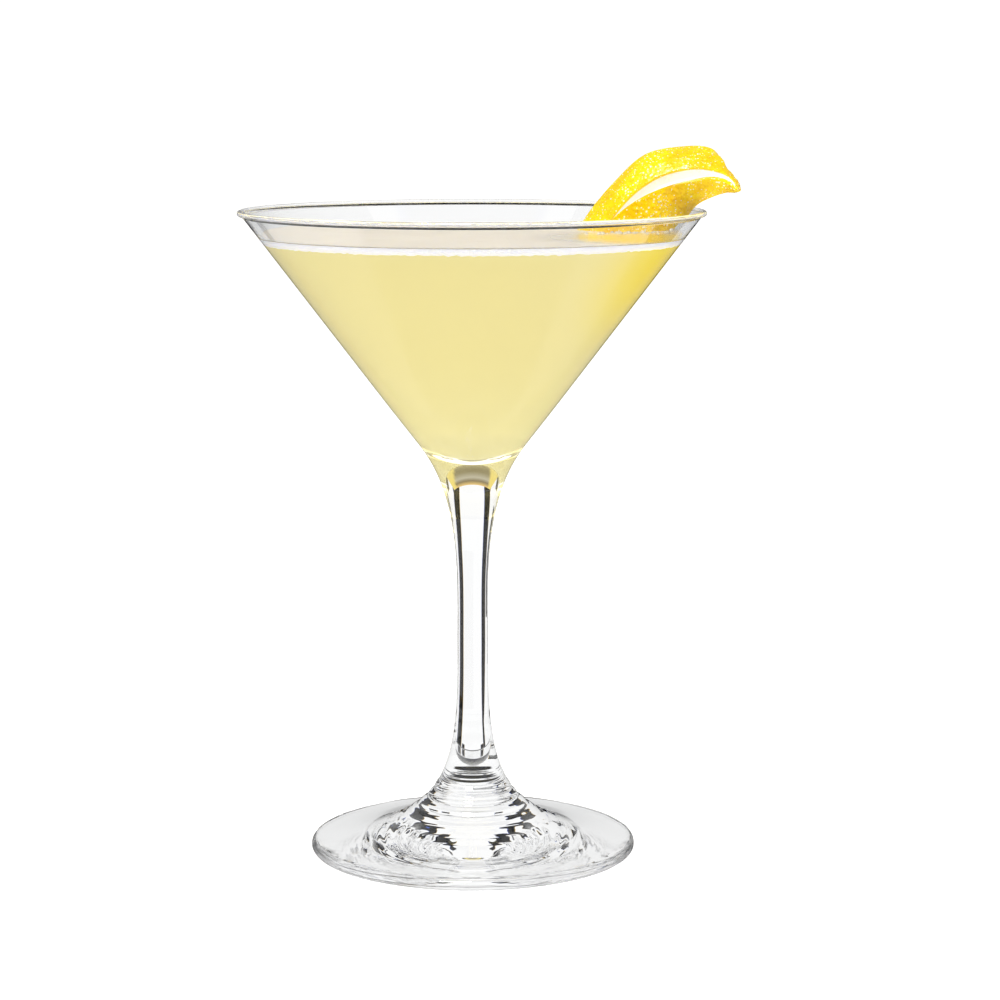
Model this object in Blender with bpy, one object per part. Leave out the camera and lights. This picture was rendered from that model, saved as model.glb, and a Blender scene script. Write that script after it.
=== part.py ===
"""Margarita in a stemmed cocktail glass: turned glass, drink, thin foam and a folded lemon twist.

Metres, +Z up. The origin is the centre of the foot's flat underside, on the glass's axis. The twist leans
over the rim on the +X side.
"""

from math import atan, cos, degrees, pi, radians, sin

import bmesh
import bpy
from mathutils import Vector

MM = 0.001
GAP = 0.3 * MM  # clearance between pieces that touch

# Glass, outside
RIM_RADIUS = 56.2 * MM
RIM_HEIGHT = 157.2 * MM
RIM_ROLL = 0.78 * MM  # radius of the rounded lip
LIP_BLEND = 2.0 * MM  # depth below the lip where the wall starts to thicken into it
CONE_SLOPE = 0.774  # growth of the bowl's radius for each unit of height
KNEE_RADIUS = 13.0 * MM  # where the cone starts to bend into the stem
WAIST_RADIUS = 3.75 * MM
WAIST_HEIGHT = 50.5 * MM
KNEE_PULL = 17.0 * MM  # lengths of the curve handles along the stem
STEM_PULL_UP = 18.0 * MM
STEM_PULL_DOWN = 29.5 * MM
FOOT_PULL = 20.0 * MM
FLARE_SLOPE = 0.39  # steepness where the stem's flare runs out on the foot
FLARE_RADIUS = 26.0 * MM
FLARE_HEIGHT = 4.3 * MM
FOOT_RADIUS = 39.9 * MM
FOOT_EDGE = 2.9 * MM  # thickness of the foot at its rounded edge
FOOT_ROLL = 1.4 * MM  # how far in from the edge its rounding starts

# Glass, inside
WALL = 1.3 * MM
BOWL_FLOOR = 96.6 * MM  # lowest point of the inside
TURN_STEPS = 64

# Contents
FOAM_TOP = 151.4 * MM
FOAM_DEPTH = 1.6 * MM
LIQUID_STEPS = 48

# Lemon twist: cuts across the strip from its sunk upper end, over the fold at the right and back down. Each has
# the outer edge, the inner edge, the thickness at each and how far the pith is cut back behind the inner edge.
TWIST_CUTS_MM = [
    ((20.4, 11.0, 141.8), (27.2, 6.2, 141.2), 2.0, 2.2, 0.2),
    ((24.8, 12.0, 150.0), (31.3, 6.1, 150.4), 2.2, 2.6, 0.2),
    ((28.4, 12.8, 156.0), (34.3, 6.0, 155.7), 2.2, 2.9, 0.0),
    ((34.2, 13.0, 163.0), (39.4, 5.6, 161.3), 2.2, 3.0, 0.0),
    ((42.0, 13.0, 170.0), (45.9, 5.5, 165.3), 2.2, 3.0, 0.0),
    ((51.6, 13.0, 172.0), (53.6, 5.5, 167.0), 2.2, 2.9, 0.0),
    ((58.3, 12.7, 171.4), (59.6, 5.3, 166.1), 2.0, 2.3, 0.0),
    ((61.5, 11.9, 167.2), (62.3, 4.9, 164.6), 1.4, 1.4, 0.0),
    ((63.7, 10.8, 164.7), (63.5, 4.3, 163.1), 1.1, 0.9, 0.0),
    ((64.6, 9.5, 162.3), (63.9, 3.7, 161.9), 0.9, 0.6, 0.0),
    ((63.8, 8.5, 160.9), (63.1, 3.0, 161.8), 0.9, 0.6, 0.1),
    ((61.6, 8.1, 160.9), (61.4, 2.4, 163.3), 1.3, 1.1, 0.4),
    ((58.3, 8.0, 159.9), (57.8, 2.0, 164.4), 1.8, 1.6, 1.0),
    ((54.6, 8.0, 158.0), (52.6, 2.0, 163.8), 2.0, 2.0, 1.4),
    ((51.6, 7.6, 154.5), (45.6, 2.0, 162.3), 2.0, 2.0, 1.4),
    ((48.6, 7.0, 151.0), (38.6, 2.0, 158.8), 2.0, 2.0, 1.4),
    ((45.2, 6.0, 147.2), (32.8, 2.0, 153.8), 2.0, 2.0, 1.2),
    ((40.0, 5.0, 143.6), (28.4, 2.0, 146.8), 1.8, 1.8, 0.8),
]
CROWN_SHARE = 0.36  # bulge of the skin across the strip, as a share of the thickness
RINGS_PER_CUT = 4
POINTS_ACROSS = 5


def clear_scene():
    for obj in list(bpy.data.objects):
        bpy.data.objects.remove(obj)


def plain_material(name, color, roughness, transmission=0.0):
    material = bpy.data.materials.new(name)
    material.use_nodes = True
    shader = material.node_tree.nodes["Principled BSDF"]
    shader.inputs["Base Color"].default_value = (*color, 1.0)
    shader.inputs["Roughness"].default_value = roughness
    shader.inputs["Metallic"].default_value = 0.0
    shader.inputs["Transmission Weight"].default_value = transmission
    return material


def finish_object(name, bm, material, crease=40.0):
    bmesh.ops.recalc_face_normals(bm, faces=bm.faces)
    mesh = bpy.data.meshes.new(name)
    bm.to_mesh(mesh)
    bm.free()
    mesh.shade_smooth()
    mesh.set_sharp_from_angle(angle=radians(crease))
    mesh.materials.append(material)
    obj = bpy.data.objects.new(name, mesh)
    bpy.context.scene.collection.objects.link(obj)
    return obj


def curve_through(start, pull_start, pull_end, end, count):
    """Points of one cubic curve between two (radius, height) ends, each with its handle."""
    points = []
    for i in range(count + 1):
        t = i / count
        weights = ((1 - t) ** 3, 3 * (1 - t) ** 2 * t, 3 * (1 - t) * t * t, t**3)
        corners = (start, pull_start, pull_end, end)
        points.append(tuple(sum(w * c[k] for w, c in zip(weights, corners)) for k in (0, 1)))
    return points


def arc(center, radii, start, stop, count):
    """Points of an elliptical arc about (radius, height), with angles in degrees."""
    points = []
    for i in range(count + 1):
        angle = radians(start + (stop - start) * i / count)
        points.append((center[0] + radii[0] * cos(angle), center[1] + radii[1] * sin(angle)))
    return points


# The bowl's outer and inner cones: the lean is their angle from the axis, and the outer one touches the lip.
LEAN = atan(CONE_SLOPE)
LIP_CENTER = (RIM_RADIUS - RIM_ROLL, RIM_HEIGHT - RIM_ROLL)
LIP_TANGENT = (LIP_CENTER[0] + RIM_ROLL * cos(LEAN), LIP_CENTER[1] - RIM_ROLL * sin(LEAN))
KNEE_HEIGHT = LIP_TANGENT[1] - (LIP_TANGENT[0] - KNEE_RADIUS) / CONE_SLOPE
INNER_TIP = KNEE_HEIGHT - (KNEE_RADIUS - WALL / cos(LEAN)) / CONE_SLOPE


def glass_outside():
    """From the lip down the bowl, the stem and the flare, over the foot's edge to the axis."""
    lip = arc(LIP_CENTER, (RIM_ROLL, RIM_ROLL), 90, -degrees(LEAN), 5)
    knee = curve_through(
        (KNEE_RADIUS, KNEE_HEIGHT),
        (KNEE_RADIUS - KNEE_PULL * sin(LEAN), KNEE_HEIGHT - KNEE_PULL * cos(LEAN)),
        (WAIST_RADIUS, WAIST_HEIGHT + STEM_PULL_UP),
        (WAIST_RADIUS, WAIST_HEIGHT),
        13,
    )
    flare = curve_through(
        (WAIST_RADIUS, WAIST_HEIGHT),
        (WAIST_RADIUS, WAIST_HEIGHT - STEM_PULL_DOWN),
        (FLARE_RADIUS - FOOT_PULL, FLARE_HEIGHT + FOOT_PULL * FLARE_SLOPE),
        (FLARE_RADIUS, FLARE_HEIGHT),
        15,
    )
    edge = arc((FOOT_RADIUS - FOOT_ROLL, FOOT_EDGE / 2), (FOOT_ROLL, FOOT_EDGE / 2), 90, -90, 8)
    return lip + knee + flare[1:] + edge + [(0.0, 0.0)]


def bowl_inside(inset, top):
    """From the axis at the bowl's round floor up the straight wall to a height, inset from the glass."""
    floor_height = BOWL_FLOOR + inset
    tip = INNER_TIP + inset / sin(LEAN)
    floor_radius = (floor_height - tip) * sin(LEAN) / (1 - sin(LEAN))
    floor = arc((0.0, floor_height + floor_radius), (floor_radius, floor_radius), -90, -degrees(LEAN), 7)
    floor[0] = (0.0, floor_height)
    return floor + [((top - tip) * CONE_SLOPE, top)]


def glass_inside():
    """From the axis at the bowl's floor up to the inner side of the lip."""
    lip = arc(LIP_CENTER, (RIM_ROLL, RIM_ROLL), 180 - degrees(LEAN), 90, 3)
    return bowl_inside(0.0, LIP_CENTER[1] - LIP_BLEND) + lip[:-1]


def turned(name, outline, steps, material):
    """A solid of revolution from an outline that starts and ends on the axis."""
    bm = bmesh.new()
    verts = [bm.verts.new((radius, 0.0, height)) for radius, height in outline]
    edges = [bm.edges.new(pair) for pair in zip(verts, verts[1:])]
    bmesh.ops.spin(
        bm,
        geom=verts + edges,
        cent=(0, 0, 0),
        axis=(0, 0, 1),
        angle=2 * pi,
        steps=steps,
        use_merge=True,
    )
    bmesh.ops.remove_doubles(bm, verts=bm.verts, dist=0.001 * MM)
    return finish_object(name, bm, material)


def make_glass():
    clear = plain_material("clear glass", (0.96, 0.98, 0.98), 0.02, 1.0)
    return turned("glass", glass_inside() + glass_outside(), TURN_STEPS, clear)


def smooth_value(values, position):
    """Catmull-Rom value at a position along a list of numbers or vectors."""
    last = len(values) - 1
    i = min(int(position), last - 1)
    t = position - i
    before = values[i - 1] if i > 0 else 2 * values[0] - values[1]
    after = values[i + 2] if i + 2 <= last else 2 * values[last] - values[last - 1]
    a, b = values[i], values[i + 1]
    square = 2 * before - 5 * a + 4 * b - after
    cube = 3 * a - before - 3 * b + after
    return 0.5 * (2 * a + (b - before) * t + square * t * t + cube * t**3)


def twist_ring(position, grow):
    """Points round one cut of the strip: across the yellow skin, then back across the white pith."""
    outer = [Vector(cut[0]) * MM for cut in TWIST_CUTS_MM]
    inner = [Vector(cut[1]) * MM for cut in TWIST_CUTS_MM]
    thick_outer, thick_inner, cut_back = ([cut[k] * MM for cut in TWIST_CUTS_MM] for k in (2, 3, 4))
    step = 0.02
    low, high = max(position - step, 0), min(position + step, len(outer) - 1)
    edge_a, edge_b = smooth_value(outer, position), smooth_value(inner, position)
    run_a = smooth_value(outer, high) - smooth_value(outer, low)
    run_b = smooth_value(inner, high) - smooth_value(inner, low)
    across = (edge_b - edge_a).normalized()
    skin, pith = [], []
    for k in range(POINTS_ACROSS):
        v = k / (POINTS_ACROSS - 1)
        along = run_a.normalized().lerp(run_b.normalized(), v)
        normal = across.cross(along).normalized()
        side = across * grow * (2 * v - 1)
        thickness = smooth_value(thick_outer, position) * (1 - v) + smooth_value(thick_inner, position) * v
        bulge = CROWN_SHARE * thickness * 4 * v * (1 - v)
        top = edge_a.lerp(edge_b, v) + normal * bulge
        skin.append(top + normal * grow + side)
        pulled = across * smooth_value(cut_back, position) * v * v
        pith.append(top - normal * (thickness + grow) - pulled + side)
    return skin + pith[::-1]


def twist_solid(name, material, grow=0.0):
    """The folded strip of peel, or a slightly larger copy of it to cut the contents with."""
    bm = bmesh.new()
    last = len(TWIST_CUTS_MM) - 1
    count = last * RINGS_PER_CUT
    rings = []
    for i in range(count + 1):
        points = twist_ring(i * last / count, grow)
        if grow and i in (0, count):
            inward = twist_ring(1 / RINGS_PER_CUT if i == 0 else last - 1 / RINGS_PER_CUT, grow)
            points = [p + (p - q).normalized() * grow for p, q in zip(points, inward)]
        rings.append([bm.verts.new(point) for point in points])
    for ring, following in zip(rings, rings[1:]):
        for k in range(len(ring)):
            m = (k + 1) % len(ring)
            bm.faces.new((ring[k], ring[m], following[m], following[k]))
    for ring in (rings[0], rings[-1]):
        for k in range(POINTS_ACROSS - 1):
            bm.faces.new((ring[k], ring[k + 1], ring[-k - 2], ring[-k - 1]))
    bmesh.ops.triangulate(bm, faces=bm.faces)
    return finish_object(name, bm, material, 50.0)


def cut_round(obj, cutter):
    cut = obj.modifiers.new("room for the twist", "BOOLEAN")
    cut.operation = "DIFFERENCE"
    cut.solver = "EXACT"
    cut.object = cutter


def make_contents(cutter):
    """The drink up to the foam and the foam on it, both cut round the twist."""
    foam_low = FOAM_TOP - FOAM_DEPTH
    drink_top = foam_low - GAP
    pale = plain_material("pale lemon drink", (0.86, 0.78, 0.36), 0.25)
    drink = turned("drink", bowl_inside(GAP, drink_top) + [(0.0, drink_top)], LIQUID_STEPS, pale)
    low, high = (bowl_inside(GAP, height)[-1] for height in (foam_low, FOAM_TOP))
    white = plain_material("fine foam", (0.92, 0.89, 0.80), 0.6)
    foam = turned("foam", [(0.0, foam_low), low, high, (0.0, FOAM_TOP)], LIQUID_STEPS, white)
    for obj in (drink, foam):
        cut_round(obj, cutter)


def main():
    clear_scene()
    peel = plain_material("lemon peel", (0.95, 0.68, 0.02), 0.45)
    make_glass()
    twist_solid("lemon_twist", peel)
    cutter = twist_solid("twist_room", peel, GAP)
    cutter.hide_render = True
    cutter.display_type = "WIRE"
    make_contents(cutter)


main()
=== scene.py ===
from math import atan, cos, degrees, hypot, pi, radians, sin
from random import Random

import bmesh
import bpy
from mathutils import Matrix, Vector, noise


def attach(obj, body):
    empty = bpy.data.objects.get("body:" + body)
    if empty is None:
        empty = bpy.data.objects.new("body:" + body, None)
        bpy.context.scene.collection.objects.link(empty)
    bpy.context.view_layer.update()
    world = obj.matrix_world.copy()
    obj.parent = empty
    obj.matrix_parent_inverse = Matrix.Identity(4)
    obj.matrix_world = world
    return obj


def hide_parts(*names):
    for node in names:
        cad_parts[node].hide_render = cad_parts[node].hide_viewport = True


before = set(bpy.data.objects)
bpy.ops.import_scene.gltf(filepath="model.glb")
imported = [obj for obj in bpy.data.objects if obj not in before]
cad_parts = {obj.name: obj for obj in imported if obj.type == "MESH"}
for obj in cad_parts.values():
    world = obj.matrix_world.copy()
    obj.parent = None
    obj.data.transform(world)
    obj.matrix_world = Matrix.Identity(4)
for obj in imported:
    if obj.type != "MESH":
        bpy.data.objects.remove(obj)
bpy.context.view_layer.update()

mm = 0.001
rootBody = "root"
# without a seed of its own, the vector noise would start from the clock
noise.seed_set(11)


# helpers for materials

def newMaterial(name):
    material = bpy.data.materials.new(name)
    material.use_nodes = True
    return material, material.node_tree.nodes, material.node_tree.links


def addNode(nodes, kind, inputs=None, **options):
    node = nodes.new(kind)
    for key, value in options.items():
        setattr(node, key, value)
    for key, value in (inputs or {}).items():
        node.inputs[key].default_value = value
    return node


def addRamp(nodes, links, source, stops):
    ramp = nodes.new("ShaderNodeValToRGB")
    points = ramp.color_ramp.elements
    while len(points) < len(stops):
        points.new(0.5)
    for point, (position, color) in zip(points, stops):
        point.position = position
        point.color = (*color, 1.0)
    links.new(source, ramp.inputs["Fac"])
    return ramp.outputs["Color"]


def addMix(nodes, links, factor, first, second):
    mix = nodes.new("ShaderNodeMix")
    mix.data_type = "RGBA"
    for name, value in (("Factor", factor), ("A", first), ("B", second)):
        socket = mix.inputs[name]
        if isinstance(value, bpy.types.NodeSocket):
            links.new(value, socket)
        else:
            socket.default_value = value if isinstance(value, float) else (*value, 1.0)
    return mix.outputs["Result"]


def addMath(nodes, links, operation, first, second=None, clamp=False):
    node = nodes.new("ShaderNodeMath")
    node.operation = operation
    node.use_clamp = clamp
    for socket, value in zip(node.inputs, (first, second)):
        if isinstance(value, bpy.types.NodeSocket):
            links.new(value, socket)
        elif value is not None:
            socket.default_value = value
    return node.outputs[0]


def addRange(nodes, links, source, low, high, outLow=0.0, outHigh=1.0, smooth=True):
    node = nodes.new("ShaderNodeMapRange")
    node.interpolation_type = "SMOOTHSTEP" if smooth else "LINEAR"
    for key, value in (("From Min", low), ("From Max", high), ("To Min", outLow), ("To Max", outHigh)):
        node.inputs[key].default_value = value
    links.new(source, node.inputs["Value"])
    return node.outputs["Result"]


def addDistance(nodes, links, place, point):
    node = nodes.new("ShaderNodeVectorMath")
    node.operation = "DISTANCE"
    node.inputs[1].default_value = point
    links.new(place, node.inputs[0])
    return node.outputs["Value"]


def groupSockets(group, sockets):
    for name, side, kind, value in sockets:
        socket = group.interface.new_socket(name=name, in_out=side, socket_type=kind)
        if value is not None:
            socket.default_value = value


def makeGrainGroup():
    # two sizes of noise on the piece's own coordinates, shared by the materials
    group = bpy.data.node_groups.new("fineGrain", "ShaderNodeTree")
    groupSockets(group, [
        ("Coarse Scale", "INPUT", "NodeSocketFloat", 60.0),
        ("Fine Scale", "INPUT", "NodeSocketFloat", 600.0),
        ("Fine Share", "INPUT", "NodeSocketFloat", 0.5),
        ("Value", "OUTPUT", "NodeSocketFloat", None),
        ("Coarse", "OUTPUT", "NodeSocketFloat", None),
    ])
    nodes, links = group.nodes, group.links
    asked, given = nodes.new("NodeGroupInput"), nodes.new("NodeGroupOutput")
    place = nodes.new("ShaderNodeTexCoord").outputs["Object"]
    coarse = addNode(nodes, "ShaderNodeTexNoise", {"Detail": 3.0, "Roughness": 0.55})
    fine = addNode(nodes, "ShaderNodeTexNoise", {"Detail": 2.0, "Roughness": 0.6})
    for texture, scale in ((coarse, "Coarse Scale"), (fine, "Fine Scale")):
        links.new(place, texture.inputs["Vector"])
        links.new(asked.outputs[scale], texture.inputs["Scale"])
    mix = nodes.new("ShaderNodeMix")
    links.new(asked.outputs["Fine Share"], mix.inputs["Factor"])
    links.new(coarse.outputs["Fac"], mix.inputs["A"])
    links.new(fine.outputs["Fac"], mix.inputs["B"])
    links.new(mix.outputs["Result"], given.inputs["Value"])
    links.new(coarse.outputs["Fac"], given.inputs["Coarse"])
    return group


grainGroup = makeGrainGroup()


def addGrain(nodes, coarse, fine, share):
    node = nodes.new("ShaderNodeGroup")
    node.node_tree = grainGroup
    for key, value in (("Coarse Scale", coarse), ("Fine Scale", fine), ("Fine Share", share)):
        node.inputs[key].default_value = value
    return node


# helpers for shapes

def curveThrough(start, pullStart, pullEnd, end, count):
    points = []
    for i in range(count + 1):
        t = i / count
        weights = ((1 - t) ** 3, 3 * (1 - t) ** 2 * t, 3 * (1 - t) * t * t, t**3)
        corners = (start, pullStart, pullEnd, end)
        points.append(tuple(sum(w * c[k] for w, c in zip(weights, corners)) for k in (0, 1)))
    return points


def arcPoints(center, radii, start, stop, count):
    angles = [radians(start + (stop - start) * i / count) for i in range(count + 1)]
    return [(center[0] + radii[0] * cos(a), center[1] + radii[1] * sin(a)) for a in angles]


def runPoints(start, stop, count):
    return [tuple(start[k] + (stop[k] - start[k]) * i / count for k in (0, 1)) for i in range(count + 1)]


def rippled(points, height, lengths, fadeIn=4.0, fadeOut=4.0):
    # pushes an outline in and out along its own length, so that a spun glass shows fine rings; all in mm
    run, total, result = 0.0, sum(hypot(b[0] - a[0], b[1] - a[1]) for a, b in zip(points, points[1:])), []
    for i, point in enumerate(points):
        before, after = points[max(i - 1, 0)], points[min(i + 1, len(points) - 1)]
        if i:
            run += hypot(point[0] - before[0], point[1] - before[1])
        along = (after[0] - before[0], after[1] - before[1])
        push = sum(sin(2 * pi * run / length + k) * height / (1 + k) for k, length in enumerate(lengths))
        push *= max(0.0, min(1.0, run / fadeIn, (total - run) / fadeOut)) ** 2 / (hypot(*along) or 1.0)
        result.append((point[0] + along[1] * push, point[1] - along[0] * push))
    return result


def spinOutline(bm, points, steps):
    # turns an outline of (radius, height) in mm once round the glass's axis
    verts = [bm.verts.new((radius * mm, 0.0, height * mm)) for radius, height in points]
    edges = [bm.edges.new(pair) for pair in zip(verts, verts[1:])]
    bmesh.ops.spin(
        bm, geom=verts + edges, cent=(0, 0, 0), axis=(0, 0, 1), angle=2 * pi, steps=steps, use_merge=True
    )
    bmesh.ops.remove_doubles(bm, verts=bm.verts, dist=0.001 * mm)
    bmesh.ops.recalc_face_normals(bm, faces=bm.faces)


def finishPiece(name, bm, material, nodeNames=(), sharp=40.0):
    mesh = bpy.data.meshes.new(name)
    bm.to_mesh(mesh)
    bm.free()
    mesh.shade_smooth()
    mesh.set_sharp_from_angle(angle=radians(sharp))
    mesh.materials.append(material)
    piece = bpy.data.objects.new(name, mesh)
    bpy.context.scene.collection.objects.link(piece)
    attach(piece, rootBody)
    if nodeNames:
        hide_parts(*nodeNames)
    print("made", name, len(mesh.polygons), "faces")


# glass, all sizes in mm

glassShape = {
    "rimRadius": 56.2, "rimHeight": 157.2, "rimRoll": 0.62, "lipInside": 12.0, "lipOutside": 46.0,
    "neckIn": 0.10, "neckDrop": 1.0, "neckRun": 46.0, "thin": 0.50,
    "coneSlope": 0.774, "wall": 1.3, "bowlFloor": 98.4,
    "floorPull": 9.4, "bowlJoint": 132.0, "jointPull": 24.0, "wallFoot": 106.2,
    "kneeRadius": 13.0, "kneePull": 17.0, "waistRadius": 3.75, "waistHeight": 50.5,
    "stemPullUp": 18.0, "stemPullDown": 29.5, "footPull": 20.0,
    "flareSlope": 0.39, "flareRadius": 26.0, "flareHeight": 4.3,
    "footRadius": 39.9, "footEdge": 2.9, "footRoll": 1.4,
    "hollowRadius": 36.0, "hollowDepth": 1.0, "steps": 192,
    "rippleTop": 18.5, "rippleHeight": 0.16, "hollowRipple": 0.008, "rippleLengths": (3.1, 4.7, 7.3),
    "edgeWaves": 0.06, "edgeWavesFrom": 33.0,
}
lean = atan(glassShape["coneSlope"])
lipCenter = tuple(glassShape[name] - glassShape["rimRoll"] for name in ("rimRadius", "rimHeight"))


def kneeHeight():
    g = glassShape
    tangent = (lipCenter[0] + g["rimRoll"] * cos(lean), lipCenter[1] - g["rimRoll"] * sin(lean))
    return tangent[1] - (tangent[0] - g["kneeRadius"]) / g["coneSlope"]


def innerTipHeight():
    # where the inside's slope would meet the axis
    g = glassShape
    return kneeHeight() - (g["kneeRadius"] - g["wall"] / cos(lean)) / g["coneSlope"]


def neckShare(height):
    g = glassShape
    return min(max(1 - (lipCenter[1] - g["neckDrop"] - height) / g["neckRun"], 0.0), 1.0)


def wallRadius(height, inset=0.0):
    # radius of the bowl's inside at a height; a negative inset lies inside the glass. Towards the rim
    # the wall grows thinner and lies a little further in, so that the rim stands out as a bead
    g = glassShape
    return (height - innerTipHeight() - inset / sin(lean)) * g["coneSlope"] - g["neckIn"] * neckShare(height)


def bowlFloorPoints(inset, count):
    # the bowl's rounded inside, up to where the wall runs straight
    g = glassShape
    end = (wallRadius(g["bowlJoint"]), g["bowlJoint"])
    pull = (end[0] - g["jointPull"] * sin(lean), end[1] - g["jointPull"] * cos(lean))
    points = curveThrough((0.0, g["bowlFloor"]), (g["floorPull"], g["bowlFloor"]), pull, end, count)
    moved = [(0.0, g["bowlFloor"] + inset)]
    for before, point, after in zip(points, points[1:], points[2:] + points[-1:]):
        along = (after[0] - before[0], after[1] - before[1])
        push = inset / hypot(*along)
        moved.append((point[0] - along[1] * push, point[1] + along[0] * push))
    return moved


def glassOutline():
    g = glassShape
    neck = lipCenter[1] - g["neckDrop"]

    def wallHeights(base, count):
        # the rings lie closer together near the rim, where the smooth wall has to end sharply
        run = [base + (neck - 1 - base) * i / count for i in range(1, count + 1)]
        return [base + 0.3] + run + [neck - 0.4, neck - 0.1, neck]

    inner = bowlFloorPoints(0.0, 28)
    inner += [(wallRadius(h), h) for h in wallHeights(g["bowlJoint"], 8) + [neck + 0.5, neck + 0.9]]
    lip = arcPoints(lipCenter, (g["rimRoll"],) * 2, 180 - degrees(lean) + g["lipInside"],
                    -degrees(lean) - g["lipOutside"], 30)
    outer = [(wallRadius(h) + (g["wall"] - g["thin"] * neckShare(h)) / cos(lean), h)
             for h in wallHeights(g["wallFoot"], 18)[::-1]]
    knee = curveThrough(
        (g["kneeRadius"], kneeHeight()),
        (g["kneeRadius"] - g["kneePull"] * sin(lean), kneeHeight() - g["kneePull"] * cos(lean)),
        (g["waistRadius"], g["waistHeight"] + g["stemPullUp"]),
        (g["waistRadius"], g["waistHeight"]),
        44,
    )
    flare = curveThrough(
        (g["waistRadius"], g["waistHeight"]),
        (g["waistRadius"], g["waistHeight"] - g["stemPullDown"]),
        (g["flareRadius"] - g["footPull"], g["flareHeight"] + g["footPull"] * g["flareSlope"]),
        (g["flareRadius"], g["flareHeight"]),
        260,
    )
    plain = sum(height > g["rippleTop"] for _, height in flare) // 2 * 2
    flare = flare[:plain:4] + rippled(flare[plain:], g["rippleHeight"], g["rippleLengths"], 4.0, 18.0)
    edgeCenter = (g["footRadius"] - g["footRoll"], g["footEdge"] / 2)
    top = curveThrough(
        flare[-1],
        (flare[-1][0] + 4.5, flare[-1][1] - 4.5 * 0.2),
        (edgeCenter[0] - 5.0, g["footEdge"] + 0.15),
        (edgeCenter[0], g["footEdge"]),
        12,
    )
    edge = arcPoints(edgeCenter, (g["footRoll"], g["footEdge"] / 2), 90, -90, 14)
    hollow = curveThrough(
        (g["hollowRadius"], 0.0),
        (g["hollowRadius"] - 4.0, 0.0),
        (12.0, g["hollowDepth"]),
        (0.0, g["hollowDepth"]),
        140,
    )
    plain = sum(radius > g["flareRadius"] + 1 for radius, _ in hollow) // 2 * 2
    hollow = hollow[:plain:4] + rippled(hollow[plain:], g["hollowRipple"], g["rippleLengths"], 18.0)
    return inner + lip + outer + knee + flare[1:] + top[1:] + edge[1:] + hollow


def clearGlassMaterial():
    material, nodes, links = newMaterial("clearGlass")
    shader = nodes["Principled BSDF"]
    shader.inputs["Base Color"].default_value = (0.985, 0.99, 0.99, 1.0)
    shader.inputs["Metallic"].default_value = 0.0
    shader.inputs["IOR"].default_value = 1.5
    shader.inputs["Transmission Weight"].default_value = 1.0
    grain = addGrain(nodes, 35.0, 900.0, 0.25)
    rough = addRange(nodes, links, grain.outputs["Value"], 0.45, 0.75, 0.0, 0.02)
    links.new(rough, shader.inputs["Roughness"])
    bump = addNode(nodes, "ShaderNodeBump", {"Strength": 0.05, "Distance": 0.0004})
    links.new(grain.outputs["Coarse"], bump.inputs["Height"])
    links.new(bump.outputs["Normal"], shader.inputs["Normal"])
    return material


def makeGlass():
    bm = bmesh.new()
    spinOutline(bm, glassOutline(), glassShape["steps"])
    # the foot's edge isn't quite even
    for vert in bm.verts:
        past = hypot(vert.co.x, vert.co.y) / mm - glassShape["edgeWavesFrom"]
        if vert.co.z < 5 * mm and past > 0:
            swell = noise.noise(vert.co / (5 * mm)) + 0.5 * noise.noise(vert.co / (1.7 * mm))
            fade = min(1.0, past / 4) * min(1.0, vert.co.z / (0.8 * mm))
            vert.co += vert.normal * glassShape["edgeWaves"] * mm * swell * fade
    finishPiece("clearGlass", bm, clearGlassMaterial(), ["glass"], 50.0)


# drink and foam; both reach a little way into the glass wall so that no air shows

drinkLook = {
    "top": 149.9, "reach": 0.35, "steps": 192, "indexInGlass": 0.875,
    "bodyColor": (0.73, 0.67, 0.33), "paleColor": (0.765, 0.705, 0.355), "deepColor": (0.79, 0.65, 0.03),
    "glowColor": (1.09, 0.95, 0.44), "peelLightGlow": (1.32, 1.03, 0.04), "paleGlow": (1.12, 1.0, 0.51),
    "glow": 0.46, "roughness": 0.03, "paleBelow": 98.0, "plainAbove": 128.0,
    "peelPlace": (0.049, -0.012, 0.150), "peelNear": 8.0, "peelFar": 38.0,
}
foamLook = {
    "top": 151.4, "low": 149.7, "reach": 0.45, "steps": 320, "rings": 70, "rise": 0.06, "riseWidth": 1.4,
    "waves": 0.10, "shadedTopColor": (0.745, 0.685, 0.59), "sideColor": (0.98, 0.97, 0.93), "roughness": 0.55,
    "speckColor": (0.86, 0.82, 0.74), "sideTop": (151.05, 151.3), "sideGlow": 0.45,
    "glowColor": (1.06, 1.07, 1.22),
    "calmPlace": (0.040, -0.014, 0.1514), "calmNear": 15.0, "calmFar": 30.0,
    "twistReflectionColor": (0.96, 0.66, 0.0), "twistReflectionNear": 8.0, "twistReflectionFar": 22.0, "twistReflectionEdge": 16.0,
}


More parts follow.
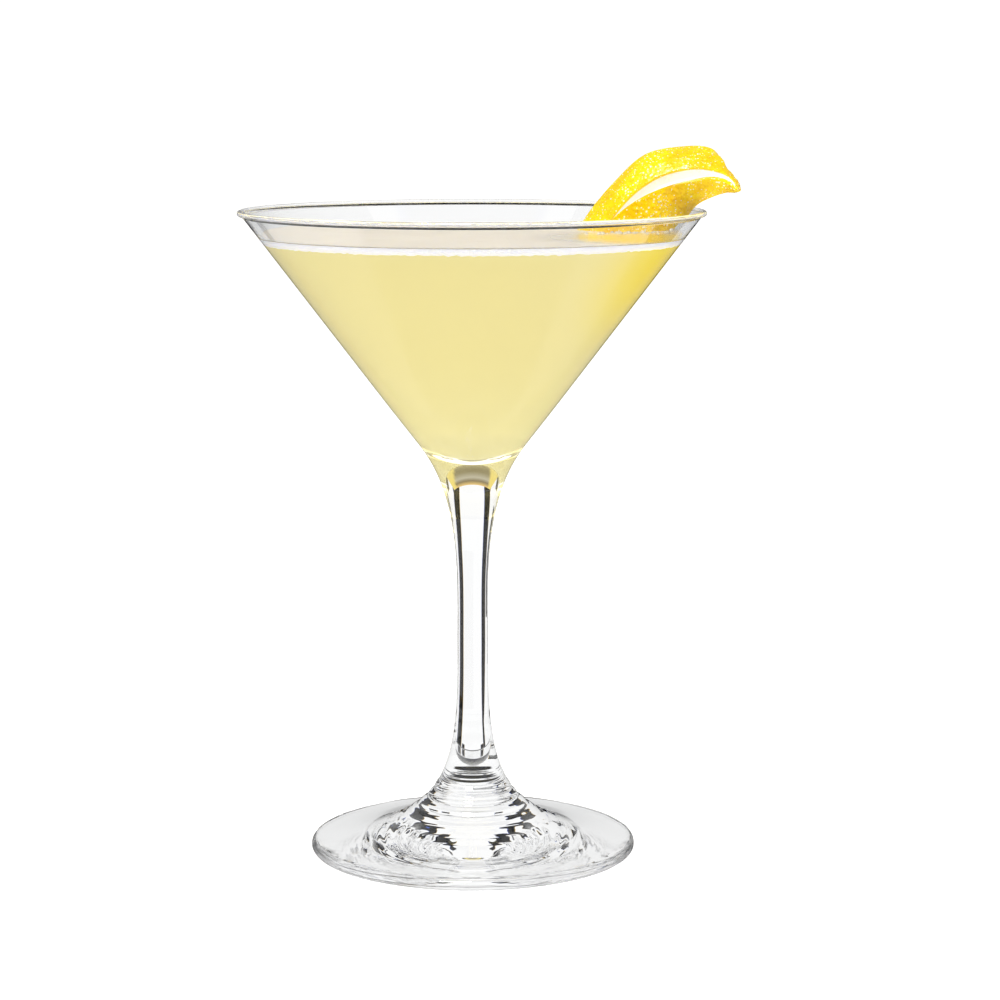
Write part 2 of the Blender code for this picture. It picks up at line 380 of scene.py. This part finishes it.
def drinkMaterial():
    d = drinkLook
    material, nodes, links = newMaterial("paleCloudyDrink")
    shader = nodes["Principled BSDF"]
    place = nodes.new("ShaderNodeTexCoord").outputs["Object"]
    parts = nodes.new("ShaderNodeSeparateXYZ")
    links.new(place, parts.inputs["Vector"])
    grain = addGrain(nodes, 45.0, 900.0, 0.3)
    # painted light: the drink is painted paler towards its thin bottom, where light shines through it
    low = addRange(nodes, links, parts.outputs["Z"], d["paleBelow"] * mm, d["plainAbove"] * mm, 1.0, 0.0)
    # painted light: round the peel's sunk end the drink is painted a deeper yellow, standing in for the
    # peel's yellow light spreading through it
    apart = addDistance(nodes, links, place, d["peelPlace"])
    near = addRange(nodes, links, apart, d["peelNear"] * mm, d["peelFar"] * mm, 1.0, 0.0)
    cloud = addRange(nodes, links, grain.outputs["Value"], 0.3, 0.7, 0.0, 0.12, False)
    # painted light: the drink glows, standing in for the light that shines through the cloudy drink from
    # behind
    for key, names in (("Base Color", ("bodyColor", "paleColor", "deepColor")),
                       ("Emission Color", ("glowColor", "paleGlow", "peelLightGlow"))):
        color = addMix(nodes, links, low, d[names[0]], d[names[1]])
        color = addMix(nodes, links, near, color, d[names[2]])
        links.new(addMix(nodes, links, cloud, color, d[names[1]]), shader.inputs[key])
    shader.inputs["Emission Strength"].default_value = d["glow"]
    shader.inputs["Roughness"].default_value = d["roughness"]
    # seen from inside the glass, a slanting look at the drink is turned back as by a mirror
    turned = addNode(nodes, "ShaderNodeFresnel", {"IOR": d["indexInGlass"]}).outputs[0]
    turned = addMath(nodes, links, "POWER", turned, 3.0)
    links.new(addRange(nodes, links, turned, 0.0, 1.0, 1.4, 60.0, False), shader.inputs["IOR"])
    return material


def makeDrink():
    d = drinkLook
    outline = bowlFloorPoints(-d["reach"], 30)
    outline += runPoints(outline[-1], (wallRadius(d["top"], -d["reach"]), d["top"]), 30)[1:]
    outline += runPoints(outline[-1], (0.0, d["top"]), 8)[1:]
    bm = bmesh.new()
    spinOutline(bm, outline, d["steps"])
    finishPiece("cloudyDrink", bm, drinkMaterial(), ["drink"])


def foamMaterial():
    f = foamLook
    material, nodes, links = newMaterial("fineFoam")
    shader = nodes["Principled BSDF"]
    place = nodes.new("ShaderNodeTexCoord").outputs["Object"]
    parts = nodes.new("ShaderNodeSeparateXYZ")
    links.new(place, parts.inputs["Vector"])
    grain = addGrain(nodes, 90.0, 1400.0, 0.5)
    # painted shade: the froth's top is painted darker than its side band, for the shade that falls on it
    side = addRange(nodes, links, parts.outputs["Z"], f["sideTop"][0] * mm, f["sideTop"][1] * mm, 1.0, 0.0)
    color = addMix(nodes, links, side, f["shadedTopColor"], f["sideColor"])
    speck = addRange(nodes, links, grain.outputs["Value"], 0.42, 0.62, 0.0, 0.35)
    color = addMix(nodes, links, speck, color, f["speckColor"])
    # painted light: the side band seen through the glass glows
    links.new(addMix(nodes, links, side, (0.0, 0.0, 0.0), f["glowColor"]), shader.inputs["Emission Color"])
    shader.inputs["Emission Strength"].default_value = f["sideGlow"]
    # beside the twist the wet surface shines, and the twist's yellow reflection in it is painted into the
    # froth's colour
    apart = addDistance(nodes, links, place, f["calmPlace"])
    ragged = addMath(nodes, links, "MULTIPLY_ADD", grain.outputs["Value"], f["twistReflectionEdge"] * mm)
    ragged.node.inputs[2].default_value = -f["twistReflectionEdge"] * mm / 2
    ragged = addMath(nodes, links, "ADD", ragged, apart)
    paintedReflection = addRange(nodes, links, ragged, f["twistReflectionNear"] * mm, f["twistReflectionFar"] * mm, 1.0, 0.0)
    paintedReflection = addMath(nodes, links, "SUBTRACT", paintedReflection, side, True)
    links.new(addMix(nodes, links, paintedReflection, color, f["twistReflectionColor"]), shader.inputs["Base Color"])
    rough = addRange(nodes, links, apart, f["calmNear"] * mm, f["calmFar"] * mm, 0.08, f["roughness"])
    links.new(rough, shader.inputs["Roughness"])
    shader.inputs["Subsurface Weight"].default_value = 0.4
    shader.inputs["Subsurface Radius"].default_value = (1.0, 0.9, 0.6)
    shader.inputs["Subsurface Scale"].default_value = 0.002
    cells = addNode(nodes, "ShaderNodeTexVoronoi", {"Scale": 1500.0})
    links.new(place, cells.inputs["Vector"])
    bump = addNode(nodes, "ShaderNodeBump", {"Strength": 0.35, "Distance": 0.0003})
    links.new(cells.outputs["Distance"], bump.inputs["Height"])
    links.new(bump.outputs["Normal"], shader.inputs["Normal"])
    return material


def makeFoam():
    f = foamLook
    edge = wallRadius(f["top"], -f["reach"])
    lowEdge = wallRadius(f["low"], -f["reach"])
    outline = [(0.0, f["low"])] + runPoints((edge * 0.5, f["low"]), (lowEdge, f["low"]), 2)
    for up, reach in ((-0.9, f["reach"]), (-0.4, 0.25), (0.0, 0.12), (f["rise"], 0.03)):
        outline.append((wallRadius(f["top"] + up, -reach), f["top"] + up))
    inner = wallRadius(f["top"], 0.0)
    for i in range(f["rings"]):
        radius = inner * (1 - i / f["rings"]) ** 0.9
        climb = f["rise"] * max(0.0, 1 - (inner - radius) / f["riseWidth"]) ** 2
        outline.append((radius, f["top"] + climb))
    outline.append((0.0, f["top"]))
    bm = bmesh.new()
    spinOutline(bm, outline, f["steps"])
    for vert in bm.verts:
        radius = hypot(vert.co.x, vert.co.y)
        if vert.co.z > (f["top"] - 0.05) * mm and radius < inner * mm:
            swell = noise.noise(vert.co / (9 * mm)) + 0.6 * noise.noise(vert.co / (2.6 * mm))
            apart = (vert.co - Vector(f["calmPlace"])).length / mm
            calm = min(1.0, max(0.12, (apart - f["calmNear"]) / (f["calmFar"] - f["calmNear"])))
            vert.co.z += f["waves"] * calm * mm * swell
        elif vert.co.z < (f["low"] + 0.05) * mm and radius > 0.9 * edge * mm:
            vert.co.z += 0.35 * mm * noise.noise(vert.co / (1.1 * mm)) - 0.1 * mm
    finishPiece("fineFoam", bm, foamMaterial(), ["foam"], 60.0)


# lemon twist: cuts across the strip, each with the outer edge, the inner edge, the thickness at both
# and how far the pith is cut back, all in mm

twistCuts = [
    ((20.4, 11.0, 141.8), (27.2, 6.2, 141.2), 2.0, 2.2, 0.2),
    ((24.8, 12.0, 150.0), (31.3, 6.1, 150.4), 2.2, 2.6, 0.2),
    ((28.4, 12.8, 156.0), (34.3, 6.0, 155.7), 2.2, 2.9, 0.0),
    ((34.2, 13.0, 163.0), (39.4, 5.6, 161.3), 2.2, 3.0, 0.0),
    ((42.0, 13.0, 170.0), (45.9, 5.5, 165.3), 2.2, 3.0, 0.0),
    ((51.6, 13.0, 172.0), (53.6, 5.5, 167.0), 2.2, 2.9, 0.0),
    ((58.3, 12.7, 171.4), (59.6, 5.3, 166.1), 2.0, 2.3, 0.0),
    ((61.5, 11.9, 167.2), (62.3, 4.9, 164.6), 1.4, 1.4, 0.0),
    ((63.7, 10.8, 164.7), (63.5, 4.3, 163.1), 1.1, 0.9, 0.0),
    ((65.2, 9.4, 161.8), (63.9, 3.7, 161.9), 0.8, 0.6, 0.0),
    ((63.8, 8.5, 160.9), (63.1, 3.0, 161.8), 0.9, 0.6, 0.1),
    ((61.6, 8.1, 160.9), (61.4, 2.4, 163.3), 1.3, 1.1, 0.4),
    ((58.3, 8.0, 159.9), (57.8, 2.0, 164.4), 1.8, 1.6, 1.0),
    ((54.6, 8.0, 158.0), (52.6, 2.0, 163.8), 2.0, 2.0, 1.4),
    ((51.6, 7.6, 154.5), (45.6, 2.0, 162.3), 2.0, 2.0, 1.4),
    ((48.6, 7.0, 151.0), (38.6, 2.0, 158.8), 2.0, 2.0, 1.4),
    ((45.2, 6.0, 147.2), (32.8, 2.0, 153.8), 2.0, 2.0, 1.2),
    ((40.0, 5.0, 143.6), (28.4, 2.0, 146.8), 1.8, 1.8, 0.8),
]
twistLook = {
    "crown": 0.36, "along": 420, "skinPoints": 46, "edgePoints": 6, "pithPoints": 22,
    "bumpHeight": 0.24, "bumpSize": 1.35, "glintGap": 0.60, "glintSize": 0.40,
    "zestColor": (1.0, 0.73, 0.002), "deepColor": (0.78, 0.37, 0.0), "glintColor": (1.0, 0.98, 0.80),
    "pithColor": (0.97, 0.95, 0.90), "pithGlow": (0.17, 0.165, 0.15),
    "innerPithColor": (0.90, 0.80, 0.50), "roughness": 0.22,
}


def smoothValue(values, position):
    last = len(values) - 1
    i = min(int(position), last - 1)
    t = position - i
    before = values[i - 1] if i > 0 else 2 * values[0] - values[1]
    after = values[i + 2] if i + 2 <= last else 2 * values[last] - values[last - 1]
    a, b = values[i], values[i + 1]
    square = 2 * before - 5 * a + 4 * b - after
    cube = 3 * a - before - 3 * b + after
    return 0.5 * (2 * a + (b - before) * t + square * t * t + cube * t**3)


class StripFrame:
    # one cut across the strip: its two edges, its directions and its thickness
    def __init__(self, position):
        outer = [Vector(cut[0]) for cut in twistCuts]
        inner = [Vector(cut[1]) for cut in twistCuts]
        low, high = max(position - 0.02, 0), min(position + 0.02, len(twistCuts) - 1)
        self.edgeA, self.edgeB = smoothValue(outer, position), smoothValue(inner, position)
        self.runA = (smoothValue(outer, high) - smoothValue(outer, low)).normalized()
        self.runB = (smoothValue(inner, high) - smoothValue(inner, low)).normalized()
        self.across = (self.edgeB - self.edgeA).normalized()
        self.sizes = [smoothValue([cut[k] for cut in twistCuts], position) for k in (2, 3, 4)]

    def point(self, v, side):
        # v runs from the outer edge to the inner one; side is 0 on the yellow skin and 1 on the white pith
        normal = self.across.cross(self.runA.lerp(self.runB, v)).normalized()
        thickness = self.sizes[0] * (1 - v) + self.sizes[1] * v
        top = self.edgeA.lerp(self.edgeB, v) + normal * twistLook["crown"] * thickness * 4 * v * (1 - v)
        pulled = self.across * self.sizes[2] * v * v * side
        return top - normal * thickness * side - pulled, normal


def twistPath():
    # (v, side) once round a cut: over the skin, down the inner edge, back over the pith, up the outer edge
    t = twistLook
    path = [(i / t["skinPoints"], 0.0) for i in range(t["skinPoints"])]
    path += [(1.0, i / t["edgePoints"]) for i in range(t["edgePoints"])]
    path += [(1 - i / t["pithPoints"], 1.0) for i in range(t["pithPoints"])]
    path += [(0.0, 1 - i / t["edgePoints"]) for i in range(t["edgePoints"])]
    return path + [path[0]]


def twistMaterial():
    t = twistLook
    material, nodes, links = newMaterial("lemonPeel")
    shader = nodes["Principled BSDF"]
    skin = addNode(nodes, "ShaderNodeAttribute", attribute_name="skin").outputs["Fac"]
    place = nodes.new("ShaderNodeTexCoord").outputs["Object"]
    grain = addGrain(nodes, 140.0, 1500.0, 0.4)
    cells = addNode(nodes, "ShaderNodeTexVoronoi", {"Scale": 1000 / (0.45 * t["bumpSize"])})
    links.new(place, cells.inputs["Vector"])
    pore = addRange(nodes, links, cells.outputs["Distance"], 0.08, 0.42, 1.0, 0.0)
    tone = addRange(nodes, links, grain.outputs["Coarse"], 0.35, 0.7, 0.0, 0.45)
    zest = addMix(nodes, links, tone, t["zestColor"], t["deepColor"])
    zest = addMix(nodes, links, addMath(nodes, links, "MULTIPLY", pore, 0.6), zest, t["deepColor"])
    # painted glints: small pale specks stand in for the light's highlights on the peel's bumps, each of its
    # own size and a little ragged
    glintCells = addNode(nodes, "ShaderNodeTexVoronoi", {"Scale": 1000 / t["glintGap"]})
    links.new(place, glintCells.inputs["Vector"])
    own = nodes.new("ShaderNodeSeparateColor")
    links.new(glintCells.outputs["Color"], own.inputs["Color"])
    edge = addMath(nodes, links, "MULTIPLY", own.outputs["Red"], t["glintSize"])
    ragged = addMath(nodes, links, "MULTIPLY_ADD", grain.outputs["Value"], 1.1)
    ragged.node.inputs[2].default_value = -0.52
    away = addMath(nodes, links, "ADD", glintCells.outputs["Distance"], ragged)
    glints = addRange(nodes, links, addMath(nodes, links, "SUBTRACT", edge, away), -0.02, 0.06, 0.0, 0.95)
    zest = addMix(nodes, links, glints, zest, t["glintColor"])
    fleck = addRange(nodes, links, grain.outputs["Value"], 0.52, 0.66, 0.0, 0.5)
    pith = addMix(nodes, links, fleck, t["pithColor"], t["innerPithColor"])
    mask = addRange(nodes, links, skin, 0.75, 0.9)
    links.new(addMix(nodes, links, mask, pith, zest), shader.inputs["Base Color"])
    # painted light: the pith glows faintly, lifting the shade on its side that faces down
    glow = addMix(nodes, links, mask, t["pithGlow"], (0.0, 0.0, 0.0))
    links.new(glow, shader.inputs["Emission Color"])
    shader.inputs["Emission Strength"].default_value = 1.0
    links.new(addRange(nodes, links, skin, 0.7, 0.9, 0.75, t["roughness"]), shader.inputs["Roughness"])
    height = addMath(nodes, links, "ADD", grain.outputs["Value"], pore)
    bump = addNode(nodes, "ShaderNodeBump", {"Strength": 0.25, "Distance": 0.0003})
    links.new(height, bump.inputs["Height"])
    links.new(bump.outputs["Normal"], shader.inputs["Normal"])
    shader.inputs["Subsurface Weight"].default_value = 0.25
    shader.inputs["Subsurface Radius"].default_value = (1.0, 0.7, 0.1)
    shader.inputs["Subsurface Scale"].default_value = 0.0015
    return material


def makeTwist():
    t = twistLook
    path = twistPath()
    bm = bmesh.new()
    bmesh.ops.create_grid(bm, x_segments=t["along"], y_segments=len(path) - 1, size=0.5)
    skinLayer = bm.verts.layers.float.new("skin")
    last = len(twistCuts) - 1
    frames = [StripFrame(last * i / t["along"]) for i in range(t["along"] + 1)]
    for vert in bm.verts:
        i = round((vert.co.x + 0.5) * t["along"])
        k = round((vert.co.y + 0.5) * (len(path) - 1))
        v, side = path[k]
        point, normal = frames[i].point(v, side)
        if side == 0.0 and 0 < v < 1:
            wobble = point + 0.25 * noise.noise_vector(point / 0.9)
            near = noise.voronoi(wobble / t["bumpSize"])[0][0]
            swell = max(-0.4, 0.6 - (near / 0.5) ** 2)
            fade = min(1.0, 10 * v, 10 * (1 - v))
            point += normal * (t["bumpHeight"] * swell + 0.10 * noise.noise(point / 2.2)) * fade
        elif side > 0:
            point += 0.07 * side * noise.noise_vector(point / 1.3)
        vert.co = point * mm
        # from the fold on, the cut edges are skinned over
        rolled = i > 0.47 * t["along"] and side < 1
        vert[skinLayer] = 1.0 if rolled else 1.0 - side
    bmesh.ops.remove_doubles(bm, verts=bm.verts, dist=0.002 * mm)
    ends = [edge for edge in bm.edges if edge.is_boundary]
    bmesh.ops.holes_fill(bm, edges=ends, sides=0)
    bmesh.ops.recalc_face_normals(bm, faces=bm.faces)
    finishPiece("lemonTwist", bm, twistMaterial(), ["lemon_twist"], 75.0)


# surface bubbles by the twist

bubbleLook = {
    "seed": 5, "count": 60, "smallest": 0.18, "largest": 0.75,
    "filmColor": (0.86, 0.80, 0.62), "shineColor": (0.97, 0.95, 0.88),
}


def bubbleMaterial():
    material, nodes, links = newMaterial("bubbleFilm")
    shader = nodes["Principled BSDF"]
    grain = addGrain(nodes, 400.0, 2500.0, 0.5)
    tones = [(0.3, bubbleLook["filmColor"]), (0.7, bubbleLook["shineColor"])]
    links.new(addRamp(nodes, links, grain.outputs["Value"], tones), shader.inputs["Base Color"])
    shader.inputs["Roughness"].default_value = 0.12
    shader.inputs["Transmission Weight"].default_value = 0.35
    shader.inputs["IOR"].default_value = 1.33
    return material


def makeBubbles():
    b = bubbleLook
    chance = Random(b["seed"])
    bm = bmesh.new()
    places = []
    for i in range(b["count"]):
        spread = chance.random() ** 1.5
        angle = chance.uniform(-2.6, 0.6)
        places.append((37 + (4 + 8 * spread) * cos(angle), 4 + (3 + 7 * spread) * sin(angle)))
    wall = wallRadius(foamLook["top"]) - 0.5
    for x, y in places:
        size = b["smallest"] + (b["largest"] - b["smallest"]) * chance.random() ** 2.5
        if hypot(x, y) + size > wall + 0.4:
            continue
        made = bmesh.ops.create_icosphere(bm, subdivisions=2, radius=size * mm)
        bmesh.ops.scale(bm, vec=(1, 1, 0.8), verts=made["verts"])
        spot = (x * mm, y * mm, (foamLook["top"] + 0.1 * size) * mm)
        bmesh.ops.translate(bm, vec=spot, verts=made["verts"])
    finishPiece("surfaceBubbles", bm, bubbleMaterial())


# floor, backdrop and lights

studio = {
    "floorRadius": 4.0, "floorGlow": 0.98, "floorDark": (0.42, 0.42, 0.42), "floorPale": (0.45, 0.45, 0.45),
    "backdrop": (1.06, 1.06, 1.06), "skyClear": (1.04, 1.04, 1.04), "skyBright": (1.0, 1.0, 1.0),
    "skySoft": (0.38, 0.34, 0.22), "skyDark": (0.03, 0.03, 0.035), "skyTop": (0.12, 0.12, 0.13),
    "darkFrom": 62.0, "darkTo": 72.0, "mirrorDim": 0.26, "mirrorDark": 0.01, "bounces": 24,
    "aheadWay": (0.0, 0.988, -0.152), "warmFringe": (0.80, 0.52, 0.10), "coolFringe": (0.06, 0.14, 0.60),
    "cardDistance": 2.5, "cardCenter": 0.08,
    # sides at the bottom, sides at the top, lowest and highest, all in degrees as seen from the glass;
    # azimuth 0 is along +Y
    "cards": [
        (26, 46, 26, 46, -36, -4), (26, 46, 17, 30, -4, 16), (17, 30, 15, 30, 16, 42),
        (-30, -24, -30, -24, -36, -22), (-30, -24, -46, -26, -22, -12), (-46, -26, -46, -26, -12, -4),
        (-46, -26, -28, -16, -4, 16), (-28, -16, -30, -15, 16, 42), (-64, -50, -64, -50, -12, 14),
        (-136, -116, -136, -116, -30, 14), (89, 109, 89, 109, -34, 10), (161, 181, 161, 181, -34, 10),
        (40, 50, 40, 50, 22, 42), (-50, -40, -50, -40, 22, 42), (56, 64, 56, 64, 8, 34),
        (17, 24, 17, 24, -50, -30), (-24, -17, -24, -17, -50, -30), (28, 40, 28, 40, -50, -39),
        (68, 82, 68, 82, -14, 22), (-81, -70, -81, -70, -14, 22),
    ],
    # a small warm-banded card close behind the bowl, seen only through the glass below the drink. Its
    # colours glow:
    # painted light and shade standing in for what the solid glass below the drink shows. Its entries are the
    # distance, lowest and highest, half its width at both, half the width of its plain middle, and its
    # colours from the bottom up, in mm
    "nearCard": {
        "away": 43.5, "low": 103.2, "high": 136.2, "widths": (17.0, 36.0), "plain": 12.5,
        "colors": ((0.90, 0.62, 0.22), (0.26, 0.20, 0.10), (0.56, 0.51, 0.37), (0.42, 0.37, 0.24),
                   (0.30, 0.25, 0.13), (0.27, 0.22, 0.11), (0.28, 0.23, 0.12), (0.30, 0.25, 0.13),
                   (0.31, 0.26, 0.14), (0.30, 0.22, 0.13), (0.06, 0.04, 0.03), (0.02, 0.02, 0.02)),
        "sideColor": (0.95, 0.76, 0.20),
    },
    # a dark ring of card above the rim gives the rim its dark lines
    "ringCard": {"radius": 80.0, "low": 160.5, "high": 300.0},
}


def makeFloor():
    material, nodes, links = newMaterial("lightTable")
    shader = nodes["Principled BSDF"]
    grain = addGrain(nodes, 3.0, 40.0, 0.3)
    tint = addRange(nodes, links, grain.outputs["Value"], 0.3, 0.7, 0.97, 1.0)
    color = addMix(nodes, links, tint, studio["floorDark"], studio["floorPale"])
    links.new(color, shader.inputs["Base Color"])
    shader.inputs["Roughness"].default_value = 0.9
    shader.inputs["Specular IOR Level"].default_value = 0.1
    shader.inputs["Emission Color"].default_value = (1, 1, 1, 1)
    shader.inputs["Emission Strength"].default_value = studio["floorGlow"]
    bm = bmesh.new()
    bmesh.ops.create_circle(bm, cap_ends=True, radius=studio["floorRadius"], segments=96)
    bmesh.ops.translate(bm, vec=(0, 0, -0.0003), verts=bm.verts)
    mesh = bpy.data.meshes.new("studioFloor")
    bm.to_mesh(mesh)
    bm.free()
    mesh.materials.append(material)
    floor = bpy.data.objects.new("studioFloor", mesh)
    bpy.context.scene.collection.objects.link(floor)
    floor.visible_transmission = floor.visible_glossy = False


def cardMaterial():
    material, nodes, links = newMaterial("blackCard")
    shader = nodes["Principled BSDF"]
    grain = addGrain(nodes, 20.0, 200.0, 0.5)
    tones = [(0.3, (0.001, 0.001, 0.001)), (0.7, (0.003, 0.003, 0.003))]
    links.new(addRamp(nodes, links, grain.outputs["Value"], tones), shader.inputs["Base Color"])
    shader.inputs["Roughness"].default_value = 1.0
    shader.inputs["Specular IOR Level"].default_value = 0.0
    fringe = addNode(nodes, "ShaderNodeAttribute", attribute_name="fringe").outputs["Color"]
    links.new(fringe, shader.inputs["Emission Color"])
    shader.inputs["Emission Strength"].default_value = 1.0
    return material


def addFarCard(bm, layer, card):
    # a dark card far off, with a warm edge at its left and a cool one at its right
    left, right, leftTop, rightTop, low, high = card
    made = bmesh.ops.create_grid(bm, x_segments=14, y_segments=10, size=0.5)
    sides = {-0.5: studio["warmFringe"], 0.5: studio["coolFringe"]}
    for vert in made["verts"]:
        vert[layer] = (*sides.get(round(vert.co.x, 3), (0, 0, 0)), 1)
        share = vert.co.y + 0.5
        start, stop = left + (leftTop - left) * share, right + (rightTop - right) * share
        turn = radians(start + (stop - start) * (vert.co.x + 0.5))
        rise = radians(low + (high - low) * share)
        way = Vector((sin(turn) * cos(rise), cos(turn) * cos(rise), sin(rise)))
        vert.co = way * studio["cardDistance"] + Vector((0, 0, studio["cardCenter"]))


def addNearCard(bm, layer):
    near = studio["nearCard"]
    made = bmesh.ops.create_grid(bm, x_segments=24, y_segments=len(near["colors"]) - 1, size=0.5)
    for vert in made["verts"]:
        share = vert.co.y + 0.5
        across = 2 * vert.co.x * (near["widths"][0] + (near["widths"][1] - near["widths"][0]) * share)
        plain = Vector(near["colors"][round(share * (len(near["colors"]) - 1))])
        blend = min(1.0, max(0.0, (abs(across) - near["plain"]) / 2))
        vert[layer] = (*plain.lerp(Vector(near["sideColor"]), blend), 1)
        vert.co = Vector((across, near["away"], near["low"] + (near["high"] - near["low"]) * share)) * mm


def addRingCard(bm, layer):
    # it has no warm or cool edges
    ring = studio["ringCard"]
    made = bmesh.ops.create_grid(bm, x_segments=96, y_segments=40, size=0.5)
    for vert in made["verts"]:
        vert[layer] = (0, 0, 0, 1)
        turn, rise = 2 * pi * vert.co.x, ring["low"] + (ring["high"] - ring["low"]) * (vert.co.y + 0.5)
        vert.co = Vector((ring["radius"] * sin(turn), ring["radius"] * cos(turn), rise)) * mm


def makeCards():
    # dark cards round the set give the clear glass its dark edge lines; only the glass shows them
    bm = bmesh.new()
    layer = bm.verts.layers.float_color.new("fringe")
    for card in studio["cards"]:
        addFarCard(bm, layer, card)
    addNearCard(bm, layer)
    addRingCard(bm, layer)
    mesh = bpy.data.meshes.new("darkCards")
    bm.to_mesh(mesh)
    bm.free()
    mesh.materials.append(cardMaterial())
    cards = bpy.data.objects.new("darkCards", mesh)
    bpy.context.scene.collection.objects.link(cards)
    cards.visible_camera = cards.visible_diffuse = cards.visible_shadow = cards.visible_glossy = False


def makeSky():
    world = bpy.data.worlds.new("studioTent")
    bpy.context.scene.world = world
    world.use_nodes = True
    nodes, links = world.node_tree.nodes, world.node_tree.links
    shade = nodes["Background"]
    way = nodes.new("ShaderNodeTexCoord").outputs["Generated"]
    parts = nodes.new("ShaderNodeSeparateXYZ")
    links.new(way, parts.inputs["Vector"])
    height = addMath(nodes, links, "ARCSINE", parts.outputs["Z"])
    height = addMath(nodes, links, "MULTIPLY_ADD", height, 1 / pi)
    height.node.inputs[2].default_value = 0.5
    s = studio
    dark, top = s["darkFrom"], s["darkTo"]
    stops = [(-90, "skyDark"), (-60, "skyDark"), (-57, "skyClear"),
             (dark, "skyClear"), (dark + 1.5, "coolFringe"), (dark + 3, "skyDark"),
             (top, "skyDark"), (top + 8, "skyTop"), (90, "skyTop")]
    tent = addRamp(nodes, links, height, [(angle / 180 + 0.5, s[name]) for angle, name in stops])
    # what lights the drink, the foam and the twist is softer from above
    stops = [(-90, "skyBright"), (14, "skyBright"), (18, "skySoft"), (45, "skySoft"), (50, "skyDark"),
             (70, "skyDark"), (80, "skyTop"), (90, "skyTop")]
    soft = addRamp(nodes, links, height, [(angle / 180 + 0.5, s[name]) for angle, name in stops])
    # plain reflections are dim, and dark where they run straight on past the glass's sides
    ahead = nodes.new("ShaderNodeVectorMath")
    ahead.operation = "DOT_PRODUCT"
    ahead.inputs[1].default_value = s["aheadWay"]
    links.new(way, ahead.inputs[0])
    still = addRange(nodes, links, ahead.outputs["Value"], 0.970, 0.985, s["mirrorDim"], s["mirrorDark"])
    path = nodes.new("ShaderNodeLightPath").outputs
    mirrored = addMath(nodes, links, "SUBTRACT", path["Is Glossy Ray"], path["Is Transmission Ray"], True)
    tent = addMix(nodes, links, mirrored, tent, still)
    tent = addMix(nodes, links, path["Is Diffuse Ray"], tent, soft)
    links.new(addMix(nodes, links, path["Is Camera Ray"], tent, s["backdrop"]), shade.inputs["Color"])
    shade.inputs["Strength"].default_value = 1.0


lights = {
    "key": {"place": (-0.18, -0.60, 1.05), "size": (0.35, 0.35), "power": 12.0, "mirrored": True},
    "fill": {"place": (0.30, 0.95, 0.95), "size": (0.6, 0.6), "power": 5.0, "mirrored": False},
}


def makeLights():
    for name, spec in lights.items():
        data = bpy.data.lights.new(name + "Light", "AREA")
        data.shape = "RECTANGLE"
        data.size, data.size_y = spec["size"]
        data.energy = spec["power"]
        light = bpy.data.objects.new(name + "Light", data)
        light.location = spec["place"]
        light.rotation_mode = "QUATERNION"
        light.rotation_quaternion = (Vector((0, 0, 0.12)) - light.location).to_track_quat("-Z", "Y")
        light.visible_transmission = False
        light.visible_glossy = spec["mirrored"]
        bpy.context.scene.collection.objects.link(light)


cameraView = {"place": (0.0067, -0.680, 0.1916), "down": 8.76, "focal": 2825.0}


def makeCamera():
    data = bpy.data.cameras.new("mainCamera")
    data.sensor_width = 36.0
    data.lens = 36.0 * cameraView["focal"] / 1000
    camera = bpy.data.objects.new("mainCamera", data)
    camera.location = cameraView["place"]
    camera.rotation_euler = (radians(90 - cameraView["down"]), 0, 0)
    bpy.context.scene.collection.objects.link(camera)
    bpy.context.scene.camera = camera


makeCamera()
makeGlass()
makeDrink()
makeFoam()
makeTwist()
makeBubbles()
makeFloor()
makeCards()
makeSky()
makeLights()
bpy.context.scene.view_settings.view_transform = "Standard"
bpy.context.scene.view_settings.look = "None"
# light runs a long way round inside the thick glass
for limit in ("max_bounces", "glossy_bounces", "transmission_bounces"):
    setattr(bpy.context.scene.cycles, limit, studio["bounces"])
print("stage and lights ready")
